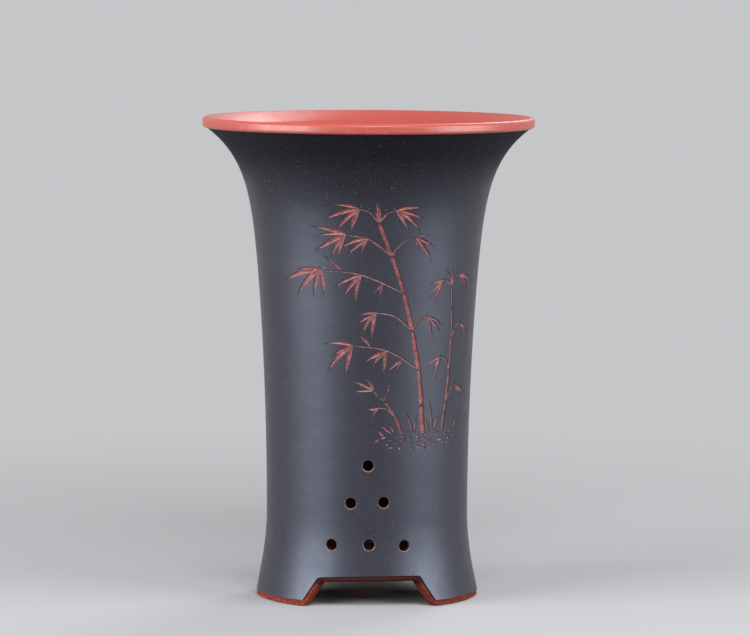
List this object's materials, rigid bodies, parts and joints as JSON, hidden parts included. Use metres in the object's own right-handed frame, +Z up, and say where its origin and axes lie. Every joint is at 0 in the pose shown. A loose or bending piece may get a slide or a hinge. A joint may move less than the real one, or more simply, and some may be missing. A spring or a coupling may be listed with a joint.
{
  "type": "planter pot",
  "caption": "Tall round clay planter pot for deep-rooted plants, with a trumpet mouth, a raised lip, side vent holes and feet cut from its base ring.",
  "frame": {"origin": "on the ground under the middle of the pot, in the plane of the soles of the feet", "axes": "+Z up along the pot's axis, -Y towards the front, which is the middle of one foot cut-out and of the vents above it, +X to the viewer's right"},
  "size_m": [0.18, 0.18, 0.26],
  "materials": {
    "red_clay": "matte",
    "dark_clay": "satin"
  },
  "bodies": {
    "root": {"inner_wall": "red_clay", "outer_skin": "dark_clay", "rim_lip": "red_clay", "floor_disc": "red_clay", "floor_seam": "red_clay", "foot_ring": "red_clay"}
  },
  "joints": []
}
